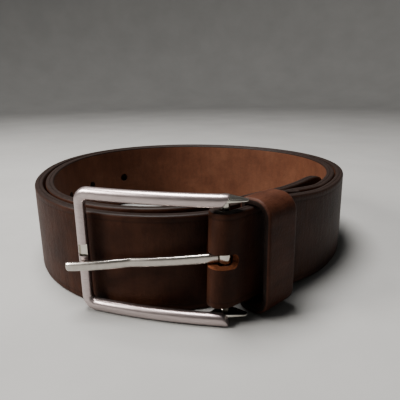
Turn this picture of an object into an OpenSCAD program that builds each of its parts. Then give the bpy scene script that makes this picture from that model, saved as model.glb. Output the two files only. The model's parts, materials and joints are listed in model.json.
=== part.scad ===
// A gentleman's dress belt, rolled up and standing on its lower edge.
// The coil's axis is Z and the strap stands on Z = 0. The buckle faces -Y.
// Angles round the coil are counted from the front (-Y), counter-clockwise seen from above.
// The strap starts at its turned-back flap, folds round the buckle's bar, runs straight
// through the keeper, and then coils inwards for a little over two turns to its tip.

/* [Strap] */
// Full width of the strap
strap_w = 35; // [34:0.5:36]
// Thickness of the outer, dyed leather
face_t = 1.8; // [1.4:0.1:2]
// Thickness of the lining leather
lining_t = 1.6; // [1.2:0.1:1.8]
// Width at the fold, where the end is trimmed to pass between the buckle's ears
fold_w = 32; // [31:0.5:32]
// Length of the rounded tip
tip_l = 22; // [16:1:30]

/* [Coil] */
// Mean outer radius of the coil
coil_r = 75.3; // [74:0.5:78]
// How much the coil is longer than it is wide, and the direction of its long axis
oval = 2.2; // [0:0.2:3]
oval_at = 15.5; // [0:0.5:30]
// How far the coil bulges three ways, and the direction of one bulge
bulge = 2.5; // [0:0.1:2.5]
bulge_at = 117.5; // [110:0.5:125]
// Angle where the straight run joins the coil
join_a = 56; // [54:1:58]
// Length of the straight run from the buckle's bar to the coil
run_l = 42; // [40:1:44]
// Angle of the strap's tip, after two full turns
tip_a = 820; // [814:1:822]

/* [Belt holes] */
// Number of holes
hole_n = 5; // [3:1:5]
// Distance between holes along the strap
hole_pitch = 25; // [20:1:25]
// Diameter of a hole
hole_d = 4.5; // [4:0.25:5]
// Angle of the hole farthest from the tip
hole_a = 592; // [588:1:596]

/* [Buckle] */
// Length of the frame to the left of the bar
frame_l = 50; // [49.6:0.1:50.2]
// Length of the front bars to the right of the bar
frame_tail = 2.4; // [2:0.2:3]
// Height of the upper and lower front bars
rail_h = 4.3; // [4:0.1:4.5]
// Width of the left bar
post_w = 3.8; // [3.6:0.1:4.6]
// Depth of the frame, front to back
frame_t = 3.2; // [3:0.1:3.4]
// Radius of the frame's bow, seen from above
bow_r = 190; // [160:10:240]
// Outer radius of the two left corners
corner_r = 5; // [4:0.5:6]
// Diameter of the bar that the strap folds round
bar_d = 3; // [2.6:0.1:3]

/* [Prong] */
// Height of the prong
prong_h = 3; // [2.8:0.1:3.4]
// Thickness of the prong
prong_t = 1.9; // [1.6:0.1:2]
// Length from the bar to the prong's tip
prong_l = 53.2; // [52.6:0.1:53.6]
// How far the loose prong droops, in degrees
prong_droop = 5.6; // [5:0.1:7.4]

/* [Keeper] */
// Width of the keeper along the strap
keeper_w = 15; // [10:0.5:15]
// Thickness of the keeper's leather
keeper_t = 2.3; // [2:0.1:2.3]
// Space in the keeper for the strap's tail
tail_gap = 4.2; // [4:0.1:4.4]
// Where the keeper starts, measured from the bar
keeper_at = 8; // [8:0.1:9]

/* [Press studs] */
// Where the studs sit, measured from the bar
stud_at = 31; // [30:0.5:32]
// Distance between the two studs
stud_span = 18; // [16:1:20]
// Radius of a stud's cap
cap_r = 4.6; // [4:0.1:5]

/* [Hidden] */
$fn = 48;
PI_DEG = PI / 180;

strap_t = face_t + lining_t;
skin = strap_t / 2;               // from the strap's middle line to its outer surface
glue = skin - face_t;             // from the middle line to the joint between the two leathers
window_h = strap_w + 0.9;         // clear height inside the buckle
frame_h = window_h + 2 * rail_h;
buckle_z = frame_h / 2;           // the buckle stands on its lower bar, so its middle is here
lift = buckle_z - strap_w / 2;    // how far it lifts the strap's end
lift_l = 60;                      // length over which the strap comes down again
bar_r = bar_d / 2;
fold_r = bar_r + 0.3 + skin;      // radius of the strap's middle line round the bar
flap_l = 42;                      // length of the turned-back flap
lining_in = 0.1;                  // how far the lining's edges stay inside the outer leather's
keeper_gap = 3;                   // space between strap and flap where the keeper's inner wall lies
steel = [0.78, 0.75, 0.73];
bright = [0.86, 0.85, 0.83];
brown = [0.24, 0.16, 0.12];
tan = [0.42, 0.27, 0.19];

// How far the strap lies inside the coil's outer line, by angle: it dips behind the buckle's
// doubled end, comes out again under the first turn, and the tip's turn springs loose inwards.
lay_in = [[join_a, 0.5], [90, 0.3], [300, 0], [340, 1.4], [368, 1.7], [381, 2.6], [393, 6.9], [405, 10.9],
          [417, 9.2], [432, 4.3], [655, 4.4], [683, 5.2], [706, 7.8], [728, 10.2], [748, 13.4],
          [765, 15.1], [778, 13.8], [797, 12.4], [809, 10.3], [822, 8.4]];
last = len(lay_in) - 1;

// A smooth curve through those distances that never overshoots them
function rate(i) = (lay_in[i + 1][1] - lay_in[i][1]) / (lay_in[i + 1][0] - lay_in[i][0]);
function knot_rate(i) =
    i <= 0 || i >= last ? 0
    : let (p = rate(i - 1), q = rate(i)) p * q <= 0 ? 0 : 2 * p * q / (p + q);
function knot_before(a) = max([for (i = [0 : last - 1]) if (lay_in[i][0] <= a || i == 0) i]);
function inset_at(a) =
    let (i = knot_before(a), h = lay_in[i + 1][0] - lay_in[i][0], t = (a - lay_in[i][0]) / h)
    (2 * t^3 - 3 * t^2 + 1) * lay_in[i][1] + (t^3 - 2 * t^2 + t) * h * knot_rate(i)
    + (3 * t^2 - 2 * t^3) * lay_in[i + 1][1] + (t^3 - t^2) * h * knot_rate(i + 1);

function outer_r(a) = coil_r + oval * cos(2 * (a - oval_at)) + bulge * cos(3 * (a - bulge_at));
function round_coil(a) = (outer_r(a) - inset_at(a) - skin) * [sin(a), -cos(a)];
function unit(v) = v / norm(v);
function ease(t) = let (u = min(max(t, 0), 1)) u * u * (3 - 2 * u);

// The straight run: its direction, its outward side and the place of the buckle's bar
run = unit(round_coil(join_a + 0.1) - round_coil(join_a));
out = [run[1], -run[0]];
run_deg = atan2(run[1], run[0]);
bar = round_coil(join_a) - run_l * run - fold_r * out;

// The flap's distance from the bar's line: round the bar, past the keeper, then in to the strap
function flap_off(s) =
    fold_r - (fold_r - (keeper_gap + strap_t - fold_r)) * ease(s / keeper_at)
    - 1.8 * ease((s - stud_at - cap_r) / (flap_l - stud_at - cap_r));

// The strap's middle line, as [x, y, distance from the bar, distance from the tip]
function place(p, s, d) = [p[0], p[1], s, d];
function to_tip(a) = (tip_a - a) * PI_DEG * (outer_r(a) - inset_at(a) - skin);
far = 1000;
flap = [for (s = [flap_l : -3 : 3]) place(bar + s * run - flap_off(s) * out, s, far)];
fold = [for (b = [0 : 18 : 180])
    place(bar + fold_r * [cos(run_deg + 90 + b), sin(run_deg + 90 + b)], 0, far)];
straight = [for (s = [3 : 3 : run_l - 3]) place(bar + s * run + fold_r * out, s, far)];
turns = [for (a = [join_a : 4 : tip_a - 20])
    place(round_coil(a), run_l + (a - join_a) * PI_DEG * coil_r, to_tip(a))];
point = [for (q = [1 : -0.1 : 0])
    let (a = tip_a - tip_l * (0.01 + 0.99 * q * q) / (PI_DEG * 62)) place(round_coil(a), far, to_tip(a))];
line = concat(flap, fold, straight, turns, point);

function raise_at(s) = lift * (1 - ease(s / lift_l));
function half_w(s, d) =
    (fold_w + (strap_w - fold_w) * ease((s - 6) / 18)) / 2 * sqrt(1 - max(1 - d / tip_l, 0)^2.4);
function side(i) =
    let (a = line[max(i - 1, 0)], b = line[min(i + 1, len(line) - 1)])
    unit([b[1] - a[1], a[0] - b[0]]);

// One ring of a leather: its outer and inner edge, each at the bottom and at the top
function ring(i, o, n, trim) =
    let (p = line[i], c = [p[0], p[1]], m = strap_w / 2 + raise_at(p[2]), u = side(i),
         h = half_w(p[2], p[3]) - trim)
    [for (k = [[o, -h], [o, h], [n, h], [n, -h]]) [each (c + k[0] * u), m + k[1]]];

// A leather that follows the middle line between the distances o and n from it, with its edges trimmed
module leather(o, n, trim) {
    count = len(line);
    points = [for (i = [0 : count - 1]) each ring(i, o, n, trim)];
    walls = [for (i = [0 : count - 2], k = [0 : 3])
        let (a = 4 * i + k, b = 4 * i + (k + 1) % 4) each [[a, a + 4, b], [b, a + 4, b + 4]]];
    e = 4 * (count - 1);
    ends = [[0, 1, 2], [0, 2, 3], [e, e + 2, e + 1], [e, e + 3, e + 2]];
    polyhedron(points, concat(walls, ends), convexity = 12);
}

// Puts its children in the run's own frame: X along the run, Y inwards and Z up from the floor
module on_run() translate([bar[0], bar[1], 0]) rotate(run_deg) children();

// A pin or hole along the thickness of the run, from the inward distance a to b
module across(s, z, r, a, b) translate([s, a, z]) rotate([-90, 0, 0]) cylinder(r = r, h = b - a);

stud_z = [for (k = [-1, 1]) strap_w / 2 + raise_at(stud_at) + k * stud_span / 2];
flap_in = flap_off(stud_at) + skin;      // inward face of the flap at the studs
flap_near = flap_off(stud_at) - skin;    // face of the flap that looks at the strap
lining_face = skin - fold_r;             // the strap's lining surface on the run
glue_face = -fold_r - glue;              // the joint between the leathers on the run
stem_r = 1.6;

module belt_holes() {
    for (k = [0 : hole_n - 1]) {
        a = hole_a + k * hole_pitch / (PI_DEG * 69.5);
        c = round_coil(a);
        g = round_coil(a + 0.5) - round_coil(a - 0.5);
        translate([c[0], c[1], strap_w / 2])
            rotate(atan2(g[1], g[0]))
            rotate([90, 0, 0])
            cylinder(d = hole_d, h = strap_t + 0.6, center = true);
    }
}

// The slot through the fold that the prong's eye and shank need
slot_h = 5;
slot_end = 0.8;
slot_reach = fold_r + skin + 1;
module prong_slot() {
    on_run() {
        translate([-slot_reach, -slot_reach, buckle_z - slot_h / 2])
            cube([slot_reach + slot_end - slot_h / 2, 2 * slot_reach, slot_h]);
        across(slot_end - slot_h / 2, buckle_z, slot_h / 2, -slot_reach, slot_reach);
    }
    at_bar(buckle_z) cylinder(r = eye_out + 0.3, h = slot_h, center = true);
}

module strap_face() color(brown) at_home() difference() {
    leather(skin, glue, 0);
    belt_holes();
    prong_slot();
    on_run() for (z = stud_z) across(stud_at, z, stem_r, flap_near, flap_in + 0.5);
}

module strap_lining() color(tan) at_home() difference() {
    leather(glue, -skin, lining_in);
    belt_holes();
    prong_slot();
    on_run() for (z = stud_z) {
        across(stud_at, z, stem_r, flap_near - 0.5, flap_in);
        across(stud_at, z, stem_r, -fold_r, lining_face + 0.5);
        across(stud_at, z, 3.5, -fold_r, glue_face + 0.6);
    }
}

// ---- buckle: its own frame has the bar's axis as Z, at the bar's place ----
bow_front = -8.9;                        // the frame's foremost point, ahead of the bar
bow_x = (frame_tail - frame_l) / 2;
end_cut = 2;                             // how far the slant cuts a front bar's inner corner back
ear_t = 1.8;
ear_gap = 2.7;                           // between the strap's fold and an ear
ear_in = fold_w / 2 + ear_gap;
hub_r = 2.4;                             // the ear's radius round the pivot bar
nose = [6.3, -0.9];                      // the ear's far corner, along the strap
nose_r = 1.4;
ear_root = [-5, -4.8];                   // where the ear leaves the front bar
ear_root_w = 4;
notch_h = 4.2;
notch_back = -6.3;

module at_bar(z = 0) translate([bar[0], bar[1], z]) children();

// A plate in X and Z whose two left corners are round
module left_round(x0, x1, h, r) {
    for (z = [-1, 1]) translate([x0 + r, z * (h / 2 - r)]) circle(r);
    translate([x0, r - h / 2]) square([x1 - x0, h - 2 * r]);
    translate([x0 + r, -h / 2]) square([x1 - x0 - r, h]);
}

// The front, seen from -Y: an open C whose ends are cut on a slant
module front_outline() difference() {
    left_round(-frame_l, frame_tail, frame_h, corner_r);
    left_round(post_w - frame_l, frame_tail + 1, window_h, 1.8);
    for (z = [-1, 1]) scale([1, z]) polygon([[frame_tail - end_cut, window_h / 2 - 1],
        [frame_tail - end_cut, window_h / 2], [frame_tail, frame_h / 2 - 1.2],
        [frame_tail + 2, frame_h / 2 - 1.2], [frame_tail + 2, window_h / 2 - 1]]);
}

module bow(r) translate([bow_x, bow_front + bow_r, 0]) cylinder(r = r, h = 80, center = true, $fn = 360);

// An ear seen from above: it reaches back from a front bar, round the pivot bar
module ear_outline() hull() {
    circle(hub_r);
    translate(nose) circle(nose_r, $fn = 32);
    translate(ear_root) square([ear_root_w, 0.5]);
}

module buckle_frame() color(steel) at_home() at_bar(buckle_z) difference() {
    union() {
        intersection() {
            rotate([90, 0, 0]) linear_extrude(30) front_outline();
            bow(bow_r);
            difference() {
                translate([-100, -60, -60]) cube([200, 100, 120]);
                bow(bow_r - frame_t);
            }
        }
        for (z = [ear_in, -ear_in - ear_t]) translate([0, 0, z]) linear_extrude(ear_t) ear_outline();
    }
    cylinder(r = bar_r, h = 80, center = true);
    translate([-frame_l + 0.9, bow_front - 1, 0.3 - notch_h / 2])
        cube([post_w, notch_back - bow_front + 1, notch_h]);
}

module pivot_bar() color(bright) at_home() at_bar(buckle_z)
    cylinder(r = bar_r, h = 2 * (ear_in + ear_t) + 0.4, center = true);

// ---- prong: an eye round the bar and a shank that swells out and then lies on the left bar ----
eye_r = bar_r + 0.06;
eye_out = 2.4;
eye_h = 4;
kink_at = 31;                            // where the shank bends outwards, over the left bar
kink_y = -5.5;
tip_y = -9.3;
root_y = -0.8;
prong_tip = 1.6;                         // length of the bevelled end
function shank_y(x) =
    x < kink_at ? root_y + (kink_y - root_y) * sin(90 * x / kink_at)
    : kink_y + (tip_y - kink_y) * sin(90 * (x - kink_at) / (prong_l - kink_at));
shank_x = [0, 4, 8, 12, 16, 20, 24, 28, kink_at - 1, kink_at, kink_at + 1, 35, 39, 43, 47,
           prong_l - prong_tip];

module shank_outline() {
    near = [for (x = shank_x) [-x, shank_y(x) + prong_t / 2]];
    away = [for (k = [len(shank_x) - 1 : -1 : 0]) [-shank_x[k], shank_y(shank_x[k]) - prong_t / 2]];
    end = [for (k = [1, -1]) [-prong_l, shank_y(prong_l) + k * prong_t / 4]];
    polygon(concat(near, end, away));
}

module prong() color(bright) at_home() at_bar(buckle_z) difference() {
    union() {
        cylinder(r = eye_out, h = eye_h, center = true);
        rotate([0, -prong_droop, 0]) translate([0, 0, -prong_h / 2]) linear_extrude(prong_h) shank_outline();
    }
    cylinder(r = eye_r, h = 20, center = true);
}

// ---- keeper: a closed band of leather round the strap, its inner wall under the flap ----
keeper_low = 0.15;
keeper_in = strap_w + 1.2;               // clear height
keeper_h = keeper_in + 2 * keeper_t;
inner_wall = 2.2;
wall_y = [-fold_r - skin - tail_gap - keeper_t, 0.85 - keeper_t + inner_wall];
seam = 0.3;
front_corner = 6.5;                      // outer radius of the keeper's two front corners

// A rectangle from x0 to x1 and h high, with large corners at x0 and small ones at x1
module round_box(x0, x1, h, r0, r1) intersection() {
    translate([x0, -h / 2]) square([x1 - x0, h]);
    union() {
        for (j = [-1, 1]) {
            translate([x0 + r0, j * (h / 2 - r0)]) circle(r0);
            translate([x1 - r1, j * (h / 2 - r1)]) circle(r1);
        }
        translate([x0 + r0, -h / 2]) square([x1 - x0 - r0 - r1, h]);
        translate([x0, r0 - h / 2]) square([r0 + 1, h - 2 * r0]);
        translate([x1 - r1 - 1, r1 - h / 2]) square([r1 + 1, h - 2 * r1]);
    }
}

module keeper_band() color(brown)
    at_home() on_run() translate([keeper_at, 0, keeper_low + keeper_h / 2])
    rotate([90, 0, 90]) linear_extrude(keeper_w) difference() {
        round_box(wall_y[0], wall_y[1], keeper_h, front_corner, 2.6);
        round_box(wall_y[0] + keeper_t, wall_y[1] - inner_wall, keeper_in, front_corner - keeper_t, 1);
        translate([wall_y[1] - inner_wall - 0.5, -seam / 2]) square([inner_wall + 1, seam]);
    }

wire = 0.8;
staple_l = 9;
module keeper_staple() color(bright)
    at_home() on_run()
    translate([keeper_at + keeper_w / 2, wall_y[1] - wire / 2 - 0.05, keeper_low + keeper_h / 2]) {
        cylinder(d = wire, h = staple_l, center = true);
        for (z = [-1, 1]) translate([0, 0, z * (staple_l - wire) / 2])
            rotate([90, 0, 0]) cylinder(d = wire, h = inner_wall - wire / 2 - 0.1);
    }

// ---- press studs: cap and socket clench the flap, ball and post clench the lining ----
cap_t = 0.6;
socket_t = 1.5;
socket_r = 4.2;
ball_r = 1.9;

module each_stud() on_run() for (z = stud_z) translate([stud_at, 0, z]) rotate([-90, 0, 0]) children();

module stud_caps() color(bright) at_home() each_stud() {
    translate([0, 0, flap_near]) cylinder(r = stem_r, h = flap_in - flap_near + 0.3);
    translate([0, 0, flap_in]) cylinder(r = cap_r, h = cap_t / 2);
    translate([0, 0, flap_in]) cylinder(r = cap_r - 0.7, h = cap_t);
}

module stud_sockets() color(bright) at_home() each_stud() difference() {
    translate([0, 0, flap_near - socket_t]) cylinder(r = socket_r, h = socket_t);
    translate([0, 0, flap_near - socket_t - 1]) cylinder(r = ball_r + 0.25, h = socket_t + 0.6);
}

module stud_balls() color(bright) at_home() each_stud() {
    translate([0, 0, lining_face]) cylinder(r = 3.6, h = 0.7);
    translate([0, 0, lining_face]) cylinder(r = ball_r, h = keeper_gap - 0.75);
}

module stud_posts() color(bright) at_home() each_stud() {
    translate([0, 0, glue_face]) cylinder(r = 3.5, h = 0.6);
    translate([0, 0, glue_face]) cylinder(r = stem_r, h = lining_face - glue_face);
}

// The whole belt is moved so that its origin is under the middle of its bounding box
edge = [for (i = [0 : len(line) - 1]) [line[i][0], line[i][1]] + skin * side(i)];
front_y = bar[1] + shank_y(prong_l - prong_tip) - prong_t / 2;
home = -[min([for (e = edge) e[0]]) + max([for (e = edge) e[0]]),
         front_y + max([for (e = edge) e[1]])] / 2;
module at_home() translate([home[0], home[1], 0]) children();

strap_face();
strap_lining();
buckle_frame();
pivot_bar();
prong();
keeper_band();
keeper_staple();
stud_caps();
stud_sockets();
stud_balls();
stud_posts();
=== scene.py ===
"""A rolled leather dress belt: its looks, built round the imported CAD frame.

Lengths in this script are millimetres, and MM turns them into Blender's metres.
"""

import json
import math

import bmesh
import bpy
import numpy as np
from mathutils import Matrix, Vector


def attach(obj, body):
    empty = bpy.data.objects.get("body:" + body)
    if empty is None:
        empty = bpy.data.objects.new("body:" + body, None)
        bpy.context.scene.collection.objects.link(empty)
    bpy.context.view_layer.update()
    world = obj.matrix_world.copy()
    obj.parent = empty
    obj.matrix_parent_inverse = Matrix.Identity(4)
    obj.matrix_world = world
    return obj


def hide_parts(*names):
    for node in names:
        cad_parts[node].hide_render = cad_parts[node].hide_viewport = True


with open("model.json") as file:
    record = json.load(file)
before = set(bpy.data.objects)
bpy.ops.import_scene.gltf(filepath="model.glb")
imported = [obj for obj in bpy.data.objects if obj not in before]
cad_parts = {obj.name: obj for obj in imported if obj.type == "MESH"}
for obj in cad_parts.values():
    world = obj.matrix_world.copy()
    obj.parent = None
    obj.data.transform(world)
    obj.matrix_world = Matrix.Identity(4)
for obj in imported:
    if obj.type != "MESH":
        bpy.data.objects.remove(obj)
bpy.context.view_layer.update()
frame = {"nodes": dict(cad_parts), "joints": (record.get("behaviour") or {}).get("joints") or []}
MM = 0.001
JOINTS = {j["name"]: j for j in frame["joints"]}

# ---- the belt's sizes, as in the CAD part ----
STRAP_W, FACE_T, LINING_T, FOLD_W = 35.0, 1.8, 1.6, 32.0
TIP_L, TIP_A = 22.0, 820.0
COIL_R, OVAL, OVAL_AT, BULGE, BULGE_AT = 75.3, 2.2, 15.5, 2.5, 117.5
JOIN_A, RUN_L, FLAP_L = 56.0, 42.0, 42.0
HOLE_N, HOLE_PITCH, HOLE_D, HOLE_A, HOLE_R = 5, 25.0, 4.5, 592.0, 69.5
# How far the strap lies inside the coil's outer line, by angle in degrees
LAY_IN = [(56, 0.5), (90, 0.3), (300, 0), (340, 1.4), (368, 1.7), (381, 2.6), (393, 6.9),
          (405, 10.9), (417, 9.2), (432, 4.3), (655, 4.4), (683, 5.2), (706, 7.8), (728, 10.2),
          (748, 13.4), (765, 15.1), (778, 13.8), (797, 12.4), (809, 10.3), (822, 8.4)]
SKIN = (FACE_T + LINING_T) / 2          # from the strap's middle line to its surfaces
BAR_R = 1.5
FOLD_R = BAR_R + 0.3 + SKIN              # radius of the middle line round the bar
KEEPER_AT, KEEPER_W, KEEPER_T, KEEPER_GAP, TAIL_GAP = 8.0, 15.0, 2.3, 3.0, 4.2
STUD_AT, CAP_R = 31.0, 4.6
EYE_OUT = 2.4                            # radius of the prong's eye
SLOT_H, SLOT_END = 5.0, 0.8

# The bar's place and the run's direction come from the record's joints.
BAR = np.array(JOINTS["buckle_swing"]["pos_m"][:2]) / MM
BUCKLE_Z = JOINTS["buckle_swing"]["pos_m"][2] / MM
RUN = np.array(JOINTS["keeper_slide"]["axis"][:2])
OUT = np.array([RUN[1], -RUN[0]])
LIFT, LIFT_L = BUCKLE_Z - STRAP_W / 2, 60.0


def ease(t):
    """0 before 0, 1 after 1, and smooth between."""
    u = min(max(t, 0.0), 1.0)
    return u * u * (3 - 2 * u)


# ---- the strap's middle line ----
def knot_rate(i):
    """The inset's slope at knot i, limited so that the curve never overshoots."""
    def rate(k):
        return (LAY_IN[k + 1][1] - LAY_IN[k][1]) / (LAY_IN[k + 1][0] - LAY_IN[k][0])
    if i <= 0 or i >= len(LAY_IN) - 1:
        return 0.0
    p, q = rate(i - 1), rate(i)
    return 0.0 if p * q <= 0 else 2 * p * q / (p + q)


def inset_at(a):
    """A smooth curve through LAY_IN."""
    i = max(k for k in range(len(LAY_IN) - 1) if LAY_IN[k][0] <= a or k == 0)
    (a0, v0), (a1, v1) = LAY_IN[i], LAY_IN[i + 1]
    h = a1 - a0
    t = (a - a0) / h
    return ((2 * t**3 - 3 * t**2 + 1) * v0 + (t**3 - 2 * t**2 + t) * h * knot_rate(i)
            + (3 * t**2 - 2 * t**3) * v1 + (t**3 - t**2) * h * knot_rate(i + 1))


def middle_r(a):
    """The middle line's distance from the coil's centre at angle a."""
    outer = (COIL_R + OVAL * math.cos(math.radians(2 * (a - OVAL_AT)))
             + BULGE * math.cos(math.radians(3 * (a - BULGE_AT))))
    return outer - inset_at(a) - SKIN


def about_centre(a):
    """The middle line's place at angle a, counted from the coil's centre."""
    return middle_r(a) * np.array([math.sin(math.radians(a)), -math.cos(math.radians(a))])


CENTRE = BAR - (about_centre(JOIN_A) - RUN_L * RUN - FOLD_R * OUT)


def flap_off(s):
    """How far the flap's middle line lies inside the bar's line."""
    return (FOLD_R - (2 * FOLD_R - KEEPER_GAP - 2 * SKIN) * ease(s / KEEPER_AT)
            - 1.8 * ease((s - STUD_AT - CAP_R) / (FLAP_L - STUD_AT - CAP_R)))


def middle_line():
    """Rows of x, y, distance from the bar, distance from the tip and the fold's share.

    The flap comes first, then the fold, the straight run, the coil's turns and the pointed tip.
    """
    far, tip_r, tip_deg = 1000.0, 62, 20.2
    rows = []
    for s in np.arange(FLAP_L, 0.5, -1.0):
        rows.append([*(BAR + s * RUN - flap_off(s) * OUT), s, far, 0])
    start = math.atan2(RUN[1], RUN[0]) + math.pi / 2
    for b in np.linspace(0, math.pi, 31):
        ring = FOLD_R * np.array([math.cos(start + b), math.sin(start + b)])
        rows.append([*(BAR + ring), 0, far, math.sin(b)])
    for s in np.arange(1.0, RUN_L - 0.5, 1.5):
        rows.append([*(BAR + s * RUN + FOLD_R * OUT), s, far, 0])
    for a in np.arange(JOIN_A, TIP_A - tip_deg, 1.5):
        to_tip = math.radians(TIP_A - a) * middle_r(a)
        from_bar = RUN_L + math.radians(a - JOIN_A) * COIL_R
        rows.append([*(CENTRE + about_centre(a)), from_bar, to_tip, 0])
    for q in np.linspace(1, 0.0, 26):
        a = TIP_A - math.degrees(TIP_L * (0.002 + 0.998 * q * q) / tip_r)
        to_tip = math.radians(TIP_A - a) * middle_r(a)
        rows.append([*(CENTRE + about_centre(a)), far, to_tip, 0])
    return np.array(rows)


LINE = middle_line()
STEP = np.gradient(LINE[:, :2], axis=0)
STEP /= np.linalg.norm(STEP, axis=1)[:, None]
SIDE = np.stack([STEP[:, 1], -STEP[:, 0]], axis=1)
ALONG = np.concatenate([[0], np.cumsum(np.linalg.norm(np.diff(LINE[:, :2], axis=0), axis=1))])


def half_width(s, d):
    """Half the strap's width, s from the bar and d from the tip."""
    full = FOLD_W + (STRAP_W - FOLD_W) * ease((s - 6) / 18)
    return full / 2 * math.sqrt(max(1 - max(1 - d / TIP_L, 0) ** 2.4, 1e-4))


def middle_z(s):
    """The height of the strap's middle: the buckle lifts this end a little."""
    return STRAP_W / 2 + LIFT * (1 - ease(s / LIFT_L))


# ---- meshes ----
def add_object(name, verts, faces, body, materials, slots=None, smooth=True):
    """A new object from millimetre points. slots gives each face's material."""
    me = bpy.data.meshes.new(name)
    me.from_pydata([tuple(c * MM for c in v) for v in verts], [], faces)
    for m in materials:
        me.materials.append(m)
    if slots is not None:
        me.polygons.foreach_set("material_index", slots)
    me.update()
    bm = bmesh.new()
    bm.from_mesh(me)
    bmesh.ops.recalc_face_normals(bm, faces=bm.faces)
    bm.to_mesh(me)
    bm.free()
    me.polygons.foreach_set("use_smooth", [smooth] * len(me.polygons))
    ob = bpy.data.objects.new(name, me)
    bpy.context.scene.collection.objects.link(ob)
    if body:
        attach(ob, body)
    return ob


def apply_modifiers(ob):
    """Turns the object's modifiers into its mesh."""
    shown = ob.evaluated_get(bpy.context.evaluated_depsgraph_get())
    me = bpy.data.meshes.new_from_object(shown)
    ob.modifiers.clear()
    ob.data = me


def cut(ob, *cutters):
    """Takes the cutters out of the object. The cut faces keep the cutters' materials."""
    for cutter in cutters:
        mod = ob.modifiers.new("cut", "BOOLEAN")
        mod.object = cutter
        mod.solver = "EXACT"
        mod.material_mode = "TRANSFER"
        apply_modifiers(ob)
        bpy.data.objects.remove(cutter)


def bevel(ob, width, segments, angle):
    """Rounds the edges where the surface turns by more than the angle."""
    mod = ob.modifiers.new("bevel", "BEVEL")
    mod.width = width * MM
    mod.segments = segments
    mod.limit_method = "ANGLE"
    mod.angle_limit = math.radians(angle)
    mod.harden_normals = False
    apply_modifiers(ob)


def crisp(ob, angle):
    """Smooth shading, with hard edges where the surface turns by more than the angle."""
    ob.data.set_sharp_from_angle(angle=math.radians(angle))


def loft(rings, closed=False):
    """Faces between rings of equal length, each ring a closed loop; open lofts get end caps."""
    n, m = len(rings), len(rings[0])
    verts = [p for ring in rings for p in ring]
    faces = []
    for i in range(n if closed else n - 1):
        for k in range(m):
            a, b = i * m + k, i * m + (k + 1) % m
            c, d = ((i + 1) % n) * m + (k + 1) % m, ((i + 1) % n) * m + k
            faces.append((a, b, c, d))
    if not closed:
        faces.append(tuple(range(m - 1, -1, -1)))
        faces.append(tuple(range((n - 1) * m, n * m)))
    return verts, faces


def on_run(s, inward, z):
    """A point given along the run from the bar, inwards of it, and up from the floor."""
    p = BAR + s * RUN - inward * OUT
    return (p[0], p[1], z)


def at_bar(x, y, z):
    """A point given from the bar's axis, with z counted from the buckle's middle."""
    return (BAR[0] + x, BAR[1] + y, BUCKLE_Z + z)


def box_cutter(name, corners, material):
    """A block from eight corners: four in order on one side, then their four partners."""
    faces = [(0, 1, 2, 3), (7, 6, 5, 4), (0, 4, 5, 1), (1, 5, 6, 2), (2, 6, 7, 3), (3, 7, 4, 0)]
    return add_object(name, corners, faces, None, [material], smooth=False)


def rod_cutter(name, start, end, radius, material):
    """A round bar from one point to another."""
    sides = 40
    p, q = np.array(start, float), np.array(end, float)
    axis = (q - p) / np.linalg.norm(q - p)
    other = np.array([0, 0, 1.0]) if abs(axis[2]) < 0.9 else np.array([1.0, 0, 0])
    u = np.cross(axis, other)
    u /= np.linalg.norm(u)
    v = np.cross(axis, u)
    turn = [2 * math.pi * k / sides for k in range(sides)]
    rings = [[c + radius * (math.cos(t) * u + math.sin(t) * v) for t in turn] for c in (p, q)]
    return add_object(name, *loft(rings), None, [material])


# ---- materials ----
def new_material(name):
    """A material with nodes, its tree and its main shader."""
    mat = bpy.data.materials.new(name)
    mat.use_nodes = True
    nt = mat.node_tree
    return mat, nt, nt.nodes["Principled BSDF"]


def set_input(nt, socket, value):
    """Links the value to the socket, or sets it there if it is a constant."""
    if isinstance(value, bpy.types.NodeSocket):
        nt.links.new(value, socket)
    else:
        socket.default_value = value


def add(nt, kind, props=None, **values):
    """A node, with its properties and its inputs' values or sources."""
    nd = nt.nodes.new(kind)
    for key, value in (props or {}).items():
        setattr(nd, key, value)
    for key, value in values.items():
        set_input(nt, nd.inputs[key], value)
    return nd


def ramp(nt, source, stops):
    """A colour that changes along the source's value."""
    nd = nt.nodes.new("ShaderNodeValToRGB")
    nt.links.new(source, nd.inputs["Fac"])
    band = nd.color_ramp.elements
    while len(band) < len(stops):
        band.new(0.5)
    for element, (place, colour) in zip(band, stops):
        element.position = place
        element.color = (*colour, 1)
    return nd.outputs["Color"]


def mix(nt, factor, a, b, blend="MIX"):
    """Two colours mixed. factor is a number or a socket, as a and b are colours or sockets."""
    nd = nt.nodes.new("ShaderNodeMix")
    nd.data_type = "RGBA"
    nd.blend_type = blend
    for socket, value in zip((nd.inputs[0], nd.inputs[6], nd.inputs[7]), (factor, a, b)):
        set_input(nt, socket, (*value, 1) if isinstance(value, tuple) else value)
    return nd.outputs[2]


def math_node(nt, operation, a, b):
    nd = nt.nodes.new("ShaderNodeMath")
    nd.operation = operation
    for socket, value in zip(nd.inputs, (a, b)):
        set_input(nt, socket, value)
    return nd.outputs[0]


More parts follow.
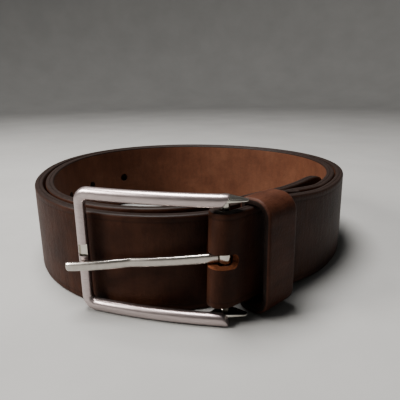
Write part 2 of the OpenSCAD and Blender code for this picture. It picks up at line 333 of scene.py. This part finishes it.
def leather(name, deep, mid, pale, rough=(0.4, 0.6), grain=0.45, gloss=0.085, streak=0.7):
    """Leather with cloudy dye, pores, fine cross wrinkles, a painted highlight along the arrises and a dark
    crease.

    deep, mid and pale are its three dye colours, grain the strength of its bumps and streak
    the strength of the wrinkles' colour.
    """
    crease_share, highlight_share = 0.35, 0.28
    mat, nt, bsdf = new_material(name)
    place = add(nt, "ShaderNodeTexCoord").outputs["Object"]
    lay = add(nt, "ShaderNodeUVMap", {"uv_map": "lay"}).outputs["UV"]
    cloud = add(nt, "ShaderNodeTexNoise", Vector=place, Scale=48.0, Detail=6.0, Roughness=0.62)
    fine = add(nt, "ShaderNodeTexNoise", Vector=place, Scale=520.0, Detail=5.0, Roughness=0.65)
    squeeze = add(nt, "ShaderNodeMapping", Vector=lay, Scale=(34.0, 5.0, 1.0))
    fold = add(nt, "ShaderNodeTexNoise", Vector=squeeze.outputs[0], Scale=1.0, Detail=5.0, Roughness=0.6)
    pores = add(nt, "ShaderNodeTexVoronoi", Vector=place, Scale=1150.0, Randomness=1.0)
    dye = ramp(nt, cloud.outputs["Fac"], [(0.3, deep), (0.5, mid), (0.74, pale)])
    streaks = ramp(nt, fold.outputs["Fac"],
                   [(0.32, (0.72, 0.72, 0.72)), (0.52, (1, 1, 1)), (0.7, (1.2, 1.18, 1.16))])
    dye = mix(nt, streak, dye, streaks, "MULTIPLY")
    speck = ramp(nt, fine.outputs["Fac"], [(0.3, (0.78, 0.78, 0.78)), (0.6, (1.08, 1.08, 1.08))])
    dye = mix(nt, 0.55, dye, speck, "MULTIPLY")
    crease = add(nt, "ShaderNodeAttribute", {"attribute_name": "crease"}).outputs["Fac"]
    rim_highlight = add(nt, "ShaderNodeAttribute", {"attribute_name": "rim_highlight"}).outputs["Fac"]
    dye = mix(nt, math_node(nt, "MULTIPLY", crease, crease_share), dye, tuple(c * 0.45 for c in deep))
    # Painted highlight: near the edges the colour turns paler and lighter, broken up by noise.
    highlight_mottle = ramp(nt, fine.outputs["Fac"], [(0.35, (0.25,) * 3), (0.62, (1.0,) * 3)])
    painted_highlight = math_node(nt, "MULTIPLY", rim_highlight, add(nt, "ShaderNodeRGBToBW", Color=highlight_mottle).outputs[0])
    highlight_colour = tuple(0.75 * c + 0.6 * pale[1] for c in pale)
    dye = mix(nt, math_node(nt, "MULTIPLY", painted_highlight, highlight_share), dye, highlight_colour)
    nt.links.new(dye, bsdf.inputs["Base Color"])
    shine = add(nt, "ShaderNodeMapRange", Value=fine.outputs["Fac"])
    shine.inputs["To Min"].default_value, shine.inputs["To Max"].default_value = rough
    nt.links.new(shine.outputs[0], bsdf.inputs["Roughness"])
    bsdf.inputs["Specular IOR Level"].default_value = gloss
    height = math_node(nt, "ADD", math_node(nt, "MULTIPLY", pores.outputs["Distance"], 0.5),
                       math_node(nt, "MULTIPLY", fine.outputs["Fac"], 0.9))
    height = math_node(nt, "ADD", height, math_node(nt, "MULTIPLY", fold.outputs["Fac"], 1.6))
    bump = add(nt, "ShaderNodeBump", Height=height, Strength=grain, Distance=0.00022)
    nt.links.new(bump.outputs[0], bsdf.inputs["Normal"])
    return mat


def plain(name, colours, rough, metallic=0.0, scale=300.0, grain=0.15, depth=0.0001,
          stretch=(1, 1, 1), gloss=0.5):
    """A material whose colour, gloss and surface vary by one noise."""
    mat, nt, bsdf = new_material(name)
    place = add(nt, "ShaderNodeTexCoord").outputs["Object"]
    place = add(nt, "ShaderNodeMapping", Vector=place, Scale=stretch).outputs[0]
    noise = add(nt, "ShaderNodeTexNoise", Vector=place, Scale=scale, Detail=5.0, Roughness=0.6)
    colour = ramp(nt, noise.outputs["Fac"], [(0.3, colours[0]), (0.7, colours[1])])
    nt.links.new(colour, bsdf.inputs["Base Color"])
    shine = add(nt, "ShaderNodeMapRange", Value=noise.outputs["Fac"])
    shine.inputs["To Min"].default_value, shine.inputs["To Max"].default_value = rough
    nt.links.new(shine.outputs[0], bsdf.inputs["Roughness"])
    bsdf.inputs["Metallic"].default_value = metallic
    bsdf.inputs["Specular IOR Level"].default_value = gloss
    bump = add(nt, "ShaderNodeBump", Height=noise.outputs["Fac"], Strength=grain, Distance=depth)
    nt.links.new(bump.outputs[0], bsdf.inputs["Normal"])
    return mat


FACE = leather("dyed_leather", (0.013, 0.0038, 0.0016), (0.027, 0.0088, 0.0040),
               (0.045, 0.0170, 0.0088))
# Lighter than the strap's dye: painted light, standing in for the light on the keeper's top.
LIT_KEEPER_LEATHER = leather("keeper_leather_painted_light", (0.020, 0.0058, 0.0027), (0.038, 0.0125, 0.0062),
                 (0.060, 0.0225, 0.0125))
LINING = leather("lining_leather", (0.050, 0.0155, 0.0065), (0.074, 0.0255, 0.0115),
                 (0.100, 0.038, 0.0185), rough=(0.55, 0.8), grain=0.3, gloss=0.12, streak=0.35)
PAINT = plain("edge_paint", ((0.005, 0.0026, 0.0018), (0.014, 0.0075, 0.0055)), (0.42, 0.6),
              scale=900.0, grain=0.35, gloss=0.12)
RAW = plain("raw_edge", ((0.05, 0.0135, 0.0045), (0.125, 0.038, 0.0135)), (0.7, 0.95),
            scale=1500.0, grain=0.8, gloss=0.1)
HOLE = plain("hole_wall", ((0.015, 0.006, 0.003), (0.04, 0.016, 0.008)), (0.6, 0.9),
             scale=1500.0, grain=0.6)
SATIN = plain("satin_metal", ((0.45, 0.375, 0.365), (0.57, 0.485, 0.475)), (0.27, 0.37),
              metallic=1.0, scale=2600.0, grain=0.06, depth=0.00004, stretch=(0.08, 1, 1))
POLISHED = plain("polished_metal", ((0.56, 0.53, 0.47), (0.68, 0.65, 0.585)), (0.1, 0.2),
                 metallic=1.0, scale=700.0, grain=0.05, depth=0.00005)
# Darker than the polished metal: painted shade for the prong's darker look.
SHADED_PRONG_METAL = plain("shaded_prong_metal", ((0.45, 0.415, 0.375), (0.55, 0.515, 0.465)), (0.2, 0.3),
               metallic=1.0, scale=700.0, grain=0.05, depth=0.00005)
WIRE = plain("steel_wire", ((0.42, 0.41, 0.4), (0.6, 0.59, 0.58)), (0.25, 0.42),
             metallic=1.0, scale=900.0)
STUD = plain("stud_metal", ((0.52, 0.5, 0.46), (0.68, 0.66, 0.61)), (0.18, 0.34),
             metallic=1.0, scale=600.0)

# ---- the strap's two leathers ----
ARRIS = 0.75                             # radius of the leathers' rounded arrises
RIM_HIGHLIGHT_W = 0.42                             # how far from an edge the painted highlight reaches
CREASE_AT, CREASE_W, CREASE_D = 2.3, 0.34, 0.08
LEAN = 2.0                               # the fold bulges forwards at its lower end
FROM_EDGE = (0.0, 0.12, 0.34, 0.75, 1.3, 1.75, 2.05, 2.3, 2.55, 2.85, 3.4, 5.5, 9.0, 13.5)


def dip(e, crease=0.0):
    """How far the leather's face lies under its full height, e from its edge."""
    corner = ARRIS - math.sqrt(max(ARRIS**2 - max(ARRIS - e, 0) ** 2, 0))
    return corner + crease * math.exp(-(((e - CREASE_AT) / CREASE_W) ** 2))


def mark(ob, marks, lay):
    """Gives the mesh its named point values, and lay as its texture coordinates."""
    me = ob.data
    for label, values in marks.items():
        me.attributes.new(label, "FLOAT", "POINT").data.foreach_set("value", values)
    corner = np.zeros(len(me.loops), dtype=np.int32)
    me.loops.foreach_get("vertex_index", corner)
    me.uv_layers.new(name="lay").data.foreach_set("uv", np.array(lay)[corner].ravel())


def near_edge(e, at, width):
    """1 at the distance at from the edge, fading over the width. Inner points have e = -1."""
    return math.exp(-(((e - at) / width) ** 2)) if e >= 0 else 0.0


def strap_ply(name, surface, inward, thickness, materials, creased):
    """One leather of the strap. surface is its visible side's distance from the middle line.

    A section runs over the visible side from the lower edge to the upper, then back behind it.
    The materials are the visible side's, the edges' and the hidden side's.
    """
    lining_dip = 0.6                      # the lining's arrises are shallower
    across = [(e, -1) for e in FROM_EDGE] + [(STRAP_W / 2, 0)] + [(e, 1) for e in reversed(FROM_EDGE)]
    rings, rim_highlights, creases, lay = [], [], [], []
    for (x, y, s, d, fold), side, along in zip(LINE, SIDE, ALONG):
        h, zc = half_width(s, d), middle_z(s)
        shrink = h / (STRAP_W / 2)
        section = []
        for e, hand in across:
            section.append((dip(e, CREASE_D) if creased else dip(e) * lining_dip, hand * (h - e * shrink), e))
        back = [(thickness * 0.62, 1.0), (thickness - 0.1, 1.0), (thickness, 0.985)]
        section += [(t, w * h, -1) for t, w in back] + [(t, -w * h, -1) for t, w in reversed(back)]
        ring = []
        for t, z, e in section:
            o = surface - inward * t
            lean = LEAN * fold * (0.5 - z / STRAP_W)
            ring.append((x + o * side[0] - lean * RUN[0], y + o * side[1] - lean * RUN[1], zc + z))
            # mask of the painted highlight along the arrises
            rim_highlights.append(near_edge(e, 0, RIM_HIGHLIGHT_W))
            creases.append(near_edge(e, CREASE_AT, CREASE_W) if creased else 0.0)
            lay.append((along / 100, z / 100))
        rings.append(ring)
    verts, faces = loft(rings)
    m = len(rings[0])
    seen = len(across) - 1
    painted = 2 if creased else 3         # how many rows of faces the edge paint covers
    kinds = [0 if painted <= k < seen - painted else 2 if k == seen + 3 else 1 for k in range(m)]
    slots = [kinds[i % m] for i in range(len(faces) - 2)] + [1, 1]
    ob = add_object(name, verts, faces, "strap", materials, slots)
    mark(ob, {"rim_highlight": rim_highlights, "crease": creases}, lay)
    return ob


def hole_cutter(k):
    """The cutter of belt hole k, along the strap's thickness."""
    a = HOLE_A + math.degrees(k * HOLE_PITCH / HOLE_R)
    c = CENTRE + about_centre(a)
    g = about_centre(a + 0.5) - about_centre(a - 0.5)
    g /= np.linalg.norm(g)
    n = np.array([g[1], -g[0]])
    z = STRAP_W / 2
    return rod_cutter("punch", (*(c - 3 * n), z), (*(c + 3 * n), z), HOLE_D / 2, HOLE)


def slot_cutters():
    """The oblong slot for the prong, and the room that its eye needs."""
    reach, half = FOLD_R + SKIN + 3, SLOT_H / 2
    z0, z1 = BUCKLE_Z - half, BUCKLE_Z + half
    end = SLOT_END - half
    window = ((-reach, z0), (end, z0), (end, z1), (-reach, z1))
    corners = [on_run(s, o, z) for o in (-reach, reach) for s, z in window]
    yield box_cutter("slot_box", corners, RAW)
    yield rod_cutter("slot_end", on_run(end, -reach, BUCKLE_Z), on_run(end, reach, BUCKLE_Z), half, RAW)
    yield rod_cutter("eye_room", (*BAR, z0), (*BAR, z1), EYE_OUT + 0.3, HOLE)


face = strap_ply("strap_outer_leather", SKIN, 1, FACE_T, [FACE, PAINT, HOLE], True)
lining = strap_ply("strap_lining_leather", -SKIN, -1, LINING_T, [LINING, PAINT, HOLE], False)
for ply, node in ((face, "strap_face"), (lining, "strap_lining")):
    cut(ply, *[hole_cutter(k) for k in range(HOLE_N)], *slot_cutters())
    crisp(ply, 50)
    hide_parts(node)

# ---- keeper: a loop of thick leather ----
KEEPER_Z0 = 0.15
KEEPER_IN = STRAP_W + 1.2
KEEPER_H = KEEPER_IN + 2 * KEEPER_T
KEEPER_Y0 = -FOLD_R - SKIN - TAIL_GAP - KEEPER_T
KEEPER_Y1 = 0.75
KEEPER_R0, KEEPER_R1 = 6.5, 2.6          # outer radii of its front and rear corners
# how far from the keeper's edges the painted highlight reaches
KEEPER_RIM_HIGHLIGHT_W = 0.4
HALF_SEAM = 0.15


def keeper_path():
    """The outer face of the loop, from the seam round to the seam: points and outward normals."""
    zc, r0, r1, half = KEEPER_Z0 + KEEPER_H / 2, KEEPER_R0, KEEPER_R1, KEEPER_H / 2
    pts = [(KEEPER_Y1, zc + z, 1, 0) for z in np.linspace(HALF_SEAM, half - r1, 8)]
    for t in np.linspace(0, 90, 9)[1:]:
        c, s = math.cos(math.radians(t)), math.sin(math.radians(t))
        pts.append((KEEPER_Y1 - r1 + r1 * c, zc + half - r1 + r1 * s, c, s))
    for y in np.linspace(KEEPER_Y1 - r1, KEEPER_Y0 + r0, 6)[1:]:
        pts.append((y, zc + half, 0, 1))
    for t in np.linspace(90, 180, 13)[1:]:
        c, s = math.cos(math.radians(t)), math.sin(math.radians(t))
        pts.append((KEEPER_Y0 + r0 + r0 * c, zc + half - r0 + r0 * s, c, s))
    for z in np.linspace(half - r0, 0, 9)[1:]:
        pts.append((KEEPER_Y0, zc + z, -1, 0))
    mirrored = [(y, 2 * zc - z, ny, -nz) for y, z, ny, nz in reversed(pts[:-1])]
    return pts + mirrored


def keeper():
    """The loop. Its section starts like the strap's, and the inner side has small bevels."""
    edges = (0.0, 0.14, 0.38, 0.75, 1.5, 3.0, 5.0)
    across = [(e, 0) for e in edges] + [(KEEPER_W / 2, 1)] + [(e, 2) for e in reversed(edges)]
    path = keeper_path()
    rings, rim_highlights, lay, along, last = [], [], [], 0.0, None
    for y, z, ny, nz in path:
        along += 0 if last is None else math.hypot(y - last[0], z - last[1])
        last = (y, z)
        ring = []
        section = [(dip(e), KEEPER_AT + (e if hand < 2 else KEEPER_W - e), e) for e, hand in across]
        back = [(1.5, 0.0), (KEEPER_T - 0.08, 0.05), (KEEPER_T, 0.4)]
        section += [(t, KEEPER_AT + KEEPER_W - e, -1) for t, e in back]
        section += [(t, KEEPER_AT + e, -1) for t, e in reversed(back)]
        for t, s, e in section:
            ring.append(on_run(s, y - t * ny, z - t * nz))
            # mask of the painted highlight along the keeper's arrises
            rim_highlights.append(near_edge(e, 0, KEEPER_RIM_HIGHLIGHT_W))
            lay.append((along / 100, s / 100))
        rings.append(ring)
    verts, faces = loft(rings)
    m, seen = len(rings[0]), len(across) - 1
    kinds = [0 if k < seen else 2 if k == seen + 3 else 1 for k in range(m)]
    slots = [kinds[i % m] for i in range(len(faces) - 2)] + [1, 1]
    ob = add_object("keeper_loop", verts, faces, "keeper", [LIT_KEEPER_LEATHER, PAINT, LINING], slots)
    mark(ob, {"rim_highlight": rim_highlights}, lay)
    crisp(ob, 50)
    return ob


loop = keeper()
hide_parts("keeper_band")

# ---- buckle frame ----
FRAME_L, FRAME_TAIL, POST_W, RAIL_H, FRAME_T, BOW_R = 50.0, 2.4, 3.8, 4.3, 3.2, 190.0
BOW_FRONT = -8.9
END_CUT = 2.0                            # how far the slant cuts the inner corner back
BOW_X = (FRAME_TAIL - FRAME_L) / 2
HALF_IN = (STRAP_W + 0.9) / 2
HALF_OUT = HALF_IN + RAIL_H
CORNER_OUT, CORNER_IN = 5.0, 1.8
END_L = 7.0                              # the slant fades out over this length from the bar's end
NOTCH_LOW, NOTCH_HIGH, NOTCH_BACK = -1.8, 2.4, -6.3


def bow(x):
    """The frame's front surface, seen from above."""
    return BOW_FRONT + BOW_R - math.sqrt(BOW_R**2 - (x - BOW_X) ** 2)


def bar_profile():
    """The bar's section as shares of its half width and half depth: round in front, flat behind."""
    turn = np.linspace(-math.pi / 2, math.pi / 2, 21)
    front = [(math.copysign(abs(math.sin(t)) ** 0.92, math.sin(t)), 0.2 - 1.2 * math.cos(t) ** 0.9)
             for t in turn]
    back = [(1.0, 0.5), (0.97, 0.75), (0.85, 0.95), (0.7, 1.0), (0.0, 1.0), (-0.7, 1.0), (-0.85, 0.95),
            (-0.97, 0.75), (-1.0, 0.5)]
    return front + back


def frame_outline():
    """Pairs of points on the outer and inner outline, from the upper bar's end to the left bar's middle."""
    pairs = []
    for x in np.linspace(FRAME_TAIL, -FRAME_L + CORNER_OUT, 22):
        pairs.append(((x, HALF_OUT), (max(x, -FRAME_L + POST_W + CORNER_IN), HALF_IN)))
    for t in np.linspace(90, 180, 13)[1:]:
        c, s = math.cos(math.radians(t)), math.sin(math.radians(t))
        pairs.append(((-FRAME_L + CORNER_OUT + CORNER_OUT * c, HALF_OUT - CORNER_OUT + CORNER_OUT * s),
                      (-FRAME_L + POST_W + CORNER_IN + CORNER_IN * c, HALF_IN - CORNER_IN + CORNER_IN * s)))
    for z in np.linspace(HALF_OUT - CORNER_OUT, 0, 8)[1:]:
        inner_z = z * (HALF_IN - CORNER_IN) / (HALF_OUT - CORNER_OUT)
        pairs.append(((-FRAME_L, z), (-FRAME_L + POST_W, inner_z)))
    return pairs


def end_cut(n):
    """How far the bar's end is cut back, by the share n across it: 1 outside, -1 inside."""
    return max(0.0, (0.44 - n) / 1.44) * END_CUT


def buckle_frame():
    """The open C in front, with bevelled ends and the notch that the prong's tip lies in."""
    profile = bar_profile()
    half = frame_outline()
    pairs = half + [((a[0], -a[1]), (b[0], -b[1])) for a, b in reversed(half[:-1])]
    rings = []
    last = len(pairs) - 1
    for i, (outer, inner) in enumerate(pairs):
        outer, inner = np.array(outer), np.array(inner)
        layers = [(0.0, 1.0)]
        if i in (0, last):
            layers = [(0.0, 0.8), (0.12, 0.93), (0.5, 1.0)]
            layers = layers if i == 0 else layers[::-1]
        for back, size in layers:
            ring = []
            for n, dep in profile:
                p = (outer + inner) / 2 + (outer - inner) / 2 * n * size
                near_end = max(0.0, 1 - (FRAME_TAIL - p[0]) / END_L)
                x = p[0] - end_cut(n * size) * near_end - back
                ring.append(at_bar(x, bow(x) + FRAME_T / 2 * (1 + dep * size), p[1]))
            rings.append(ring)
    ob = add_object("buckle_front", *loft(rings), "buckle", [SATIN])
    x0, x1 = -FRAME_L + 0.9, -FRAME_L + POST_W + 1
    window = ((x0, NOTCH_LOW), (x1, NOTCH_LOW), (x1, NOTCH_HIGH), (x0, NOTCH_HIGH))
    corners = [at_bar(x, y, z) for y in (-12.0, NOTCH_BACK) for x, z in window]
    cut(ob, box_cutter("notch", corners, POLISHED))
    crisp(ob, 38)
    return ob


EAR_IN, EAR_T, HUB_R, NOSE, NOSE_R = FOLD_W / 2 + 2.7, 1.8, 2.4, (6.3, -0.9), 1.4
EAR_ROOT = [(-5.0, -4.8), (-1.0, -4.8)]
NOSE_THIN = 0.62                         # the share of its thickness that an ear loses at its nose


def convex(points):
    """The convex outline of flat points, counter-clockwise."""
    pts = sorted(points)

    def half(seq):
        out = []
        for p in seq:
            while len(out) > 1 and ((out[-1][0] - out[-2][0]) * (p[1] - out[-2][1])
                                    - (out[-1][1] - out[-2][1]) * (p[0] - out[-2][0])) <= 1e-9:
                out.pop()
            out.append(p)
        return out[:-1]

    return half(pts) + half(pts[::-1])


def ear(name, z0):
    """An ear on the height z0, from the front bar round the pivot bar to its thin nose."""
    turn = [math.radians(t) for t in range(0, 360, 10)]
    pts = [(HUB_R * math.cos(t), HUB_R * math.sin(t)) for t in turn]
    pts += [(NOSE[0] + NOSE_R * math.cos(t), NOSE[1] + NOSE_R * math.sin(t)) for t in turn]
    outline = convex(pts + EAR_ROOT)
    thick = [EAR_T / 2 * (1 - NOSE_THIN * ease(x / (NOSE[0] + NOSE_R))) for x, y in outline]
    rings = []
    for side in (-1, 1):
        rings.append([at_bar(x, y, z0 + EAR_T / 2 + side * t) for (x, y), t in zip(outline, thick)])
    ob = add_object(name, *loft(rings), "buckle", [POLISHED])
    bevel(ob, 0.35, 3, 60)
    crisp(ob, 40)
    return ob


front = buckle_frame()
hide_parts("buckle_frame")
for name, z0 in (("ear_upper", EAR_IN), ("ear_lower", -EAR_IN - EAR_T)):
    lug = ear(name, z0)
    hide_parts("buckle_frame")

# ---- prong ----
PRONG_H, PRONG_T, PRONG_L, DROOP = 3.0, 1.9, 53.2, 5.6
KINK_AT, KINK_Y, TIP_Y, ROOT_Y, EYE_H, EYE_R = 31.0, -5.5, -9.3, -0.8, 4.0, 1.56


def shank_y(x):
    """How far the shank's middle lies behind the bar's axis, x to the left of it."""
    if x < KINK_AT:
        return ROOT_Y + (KINK_Y - ROOT_Y) * math.sin(math.pi / 2 * x / KINK_AT)
    return KINK_Y + (TIP_Y - KINK_Y) * math.sin(math.pi / 2 * (x - KINK_AT) / (PRONG_L - KINK_AT))


def prong_shank():
    """A flat bar with bevelled edges that tapers a little to its tip."""
    tilt = math.radians(DROOP)
    places = [*np.linspace(2.0, KINK_AT - 0.7, 22), KINK_AT, *np.linspace(KINK_AT + 0.7, PRONG_L - 0.5, 18),
              PRONG_L - 0.2, PRONG_L]
    cut_z, cut_t, back_cut = 0.62, 0.495, 0.3
    rings = []
    for x in places:
        slope = (shank_y(x + 0.05) - shank_y(x - 0.05)) / 0.1
        nx, ny = slope / math.hypot(1, slope), 1 / math.hypot(1, slope)
        end = ease((PRONG_L - x) / 0.5)
        h, t = PRONG_H / 2 * (0.88 + 0.12 * end), PRONG_T / 2 * (0.75 + 0.25 * end)
        section = [(-1, h - cut_z), (-1 + cut_t / t, h), (1 - back_cut / t, h), (1, h - back_cut),
                   (1, -h + back_cut), (1 - back_cut / t, -h), (-1 + cut_t / t, -h), (-1, -h + cut_z)]
        ring = []
        for n, z in section:
            px, py = -x + n * t * nx, shank_y(x) + n * t * ny
            ring.append(at_bar(px * math.cos(tilt) - z * math.sin(tilt), py,
                               px * math.sin(tilt) + z * math.cos(tilt)))
        rings.append(ring)
    ob = add_object("prong_shank", *loft(rings), "prong", [SHADED_PRONG_METAL])
    bevel(ob, 0.07, 1, 25)
    crisp(ob, 22)
    return ob


def prong_eye():
    """The ring round the pivot bar."""
    turn = [math.radians(t) for t in range(0, 360, 8)]
    profile = [(EYE_R, -1), (EYE_OUT, -1), (EYE_OUT, 1), (EYE_R, 1)]
    rings = [[at_bar(r * math.cos(t), r * math.sin(t), z * EYE_H / 2) for r, z in profile] for t in turn]
    ob = add_object("prong_eye", *loft(rings, closed=True), "prong", [POLISHED])
    bevel(ob, 0.3, 3, 60)
    crisp(ob, 40)
    return ob


for piece in (prong_shank(), prong_eye()):
    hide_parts("prong")

# ---- CAD nodes that stay, with better materials ----
for node, mat in (("pivot_bar", POLISHED), ("keeper_staple", WIRE), ("stud_caps", STUD),
                  ("stud_sockets", STUD), ("stud_balls", STUD), ("stud_posts", STUD)):
    ob = frame["nodes"][node]
    ob.data.materials.clear()
    ob.data.materials.append(mat)

# ---- stage, light and camera ----
SENSOR = 36
CAM_F = 434 / 400 * SENSOR               # focal length
CAM_AWAY, CAM_RIGHT, CAM_UP = 211.3, 5.8, 78.7
YAW, PITCH, ROLL = math.radians(15.5), math.radians(16.0), math.radians(-0.89)
AHEAD = np.array([-math.sin(YAW), math.cos(YAW)])
RIGHT = np.array([math.cos(YAW), math.sin(YAW)])


def spot(right, ahead, up):
    """A place given from the coil's centre, as the camera sees it."""
    p = CENTRE + right * RIGHT + ahead * AHEAD
    return Vector((p[0] * MM, p[1] * MM, up * MM))


def camera():
    """The camera that the main picture is taken with."""
    cam = bpy.data.objects.new("camera", bpy.data.cameras.new("camera"))
    cam.data.lens = CAM_F
    cam.data.sensor_width = SENSOR
    cam.data.clip_start, cam.data.clip_end = 0.005, 20
    right = np.array([*RIGHT, 0])
    look = np.array([*(AHEAD * math.cos(PITCH)), -math.sin(PITCH)])
    up = np.array([*(AHEAD * math.sin(PITCH)), math.cos(PITCH)])
    x = math.cos(ROLL) * right + math.sin(ROLL) * up
    y = -math.sin(ROLL) * right + math.cos(ROLL) * up
    turn = Matrix([[x[i], y[i], -look[i]] for i in range(3)]).to_4x4()
    cam.matrix_world = Matrix.Translation(spot(CAM_RIGHT, -CAM_AWAY, CAM_UP)) @ turn
    bpy.context.scene.collection.objects.link(cam)
    bpy.context.scene.camera = cam


def area_light(name, place, size, power, colour):
    """A round soft light that is aimed at the belt."""
    data = bpy.data.lights.new(name, "AREA")
    data.shape = "DISK"
    data.size = size * MM
    data.energy = power
    data.color = colour
    ob = bpy.data.objects.new(name, data)
    ob.location = place
    aim = spot(0, 0, 15) - place
    ob.rotation_euler = aim.to_track_quat("-Z", "Y").to_euler()
    bpy.context.scene.collection.objects.link(ob)


def stage():
    """A pale floor that rises into a wall all round."""
    flat, bend, wall, sides = 900.0, 350.0, 900.0, 96
    line = [(r, 0.0) for r in (0.0, 150, 400, 700, flat)]
    line += [(flat + bend * math.sin(t), bend * (1 - math.cos(t)))
             for t in np.linspace(0, math.pi / 2, 14)[1:]]
    line += [(flat + bend, bend + wall)]
    turn = [2 * math.pi * k / sides for k in range(sides)]
    verts = [(CENTRE[0], CENTRE[1], 0.0)]
    for r, z in line[1:]:
        verts += [(CENTRE[0] + r * math.cos(t), CENTRE[1] + r * math.sin(t), z) for t in turn]
    faces = [(0, 1 + k, 1 + (k + 1) % sides) for k in range(sides)]
    for i in range(len(line) - 2):
        for k in range(sides):
            a, b = 1 + i * sides + k, 1 + i * sides + (k + 1) % sides
            faces.append((a, b, b + sides, a + sides))
    mat = plain("floor", ((0.22, 0.22, 0.213), (0.25, 0.25, 0.242)), (0.8, 0.95),
                scale=14.0, grain=0.02)
    add_object("floor", verts, faces, None, [mat])


stage()
area_light("key", spot(-560, -190, 420), 260, 8.0, (1.0, 0.965, 0.93))
area_light("top", spot(-120, 40, 660), 340, 13.0, (1.0, 0.97, 0.95))
world = bpy.data.worlds.new("world")
world.use_nodes = True
sky = world.node_tree.nodes["Background"]
sky.inputs["Color"].default_value = (0.88, 0.9, 0.93, 1)
sky.inputs["Strength"].default_value = 0.09
bpy.context.scene.world = world
camera()
